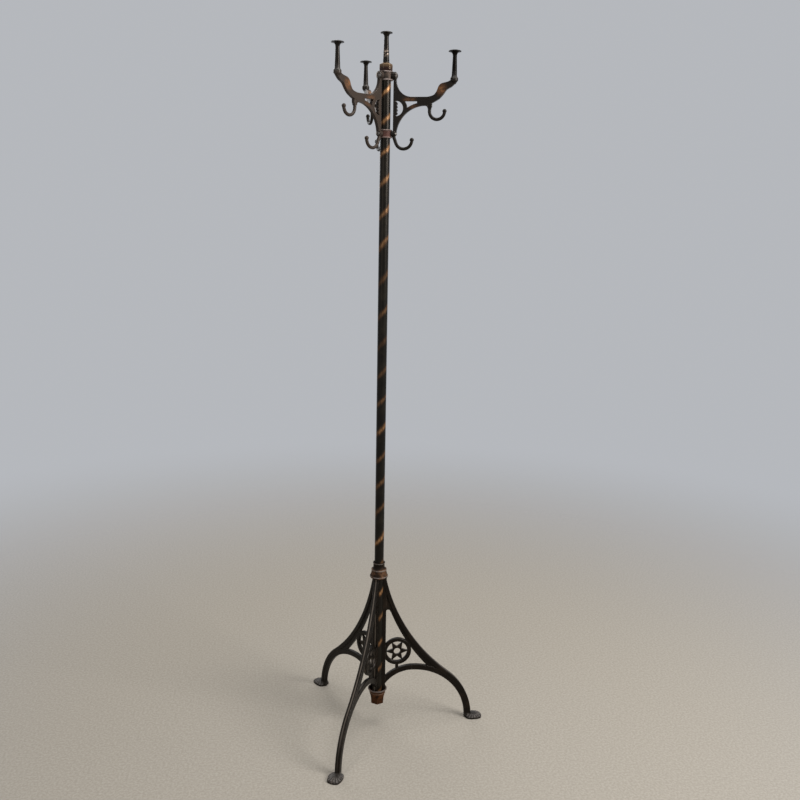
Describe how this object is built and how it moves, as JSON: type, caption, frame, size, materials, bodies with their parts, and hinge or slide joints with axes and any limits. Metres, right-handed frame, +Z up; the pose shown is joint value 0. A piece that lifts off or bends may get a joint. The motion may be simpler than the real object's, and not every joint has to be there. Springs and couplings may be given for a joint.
{
  "type": "coat rack",
  "caption": "Cast-iron hall tree: a striped tube pole on arched tripod legs with pierced star rings, and a revolving head of scrolled arms with hat pegs and hooks.",
  "frame": {"origin": "on the pole's axis at floor level", "axes": "+Z up along the pole; +X out along leg_1; the head's first arm stands 20 degrees clockwise from +X, seen from above"},
  "size_m": [0.4665, 0.533, 1.8506],
  "materials": {
    "japanned_iron": "worn semi-gloss black-brown japan, rubbed on the high edges",
    "striped_pole": "semi-gloss black with a hand-laid copper stripe that winds up the pole",
    "coppered_iron": "oxidised copper plate, dull, with worn rims",
    "worn_brass": "dark bronzed brass, rubbed on its corners",
    "screw_steel": "blackened, dull",
    "bare_steel": "turned steel, dull with age"
  },
  "bodies": {
    "stand": {"pole_tube": "striped_pole", "pole_stud": "bare_steel", "base_collar": "coppered_iron", "collar_screw": "bare_steel", "leg_1": "japanned_iron", "leg_2": "japanned_iron", "leg_3": "japanned_iron", "bottom_cap": "coppered_iron", "finial_nut": "worn_brass", "finial_peg": "japanned_iron"},
    "head": {"upper_collar": "coppered_iron", "lower_collar": "coppered_iron", "arm_1": "japanned_iron", "arm_2": "japanned_iron", "arm_3": "japanned_iron", "hat_peg_1": "japanned_iron", "hat_peg_2": "japanned_iron", "hat_peg_3": "japanned_iron", "upper_screw_1": "screw_steel", "upper_screw_2": "screw_steel", "upper_screw_3": "screw_steel", "lower_screw_1": "screw_steel", "lower_screw_2": "screw_steel", "lower_screw_3": "screw_steel"}
  },
  "joints": [
    {"name": "head_turn", "type": "hinge", "parent": "stand", "child": "head", "pos_m": [0, 0, 1.7], "axis": [0, 0, 1], "continuous": true}
  ]
}
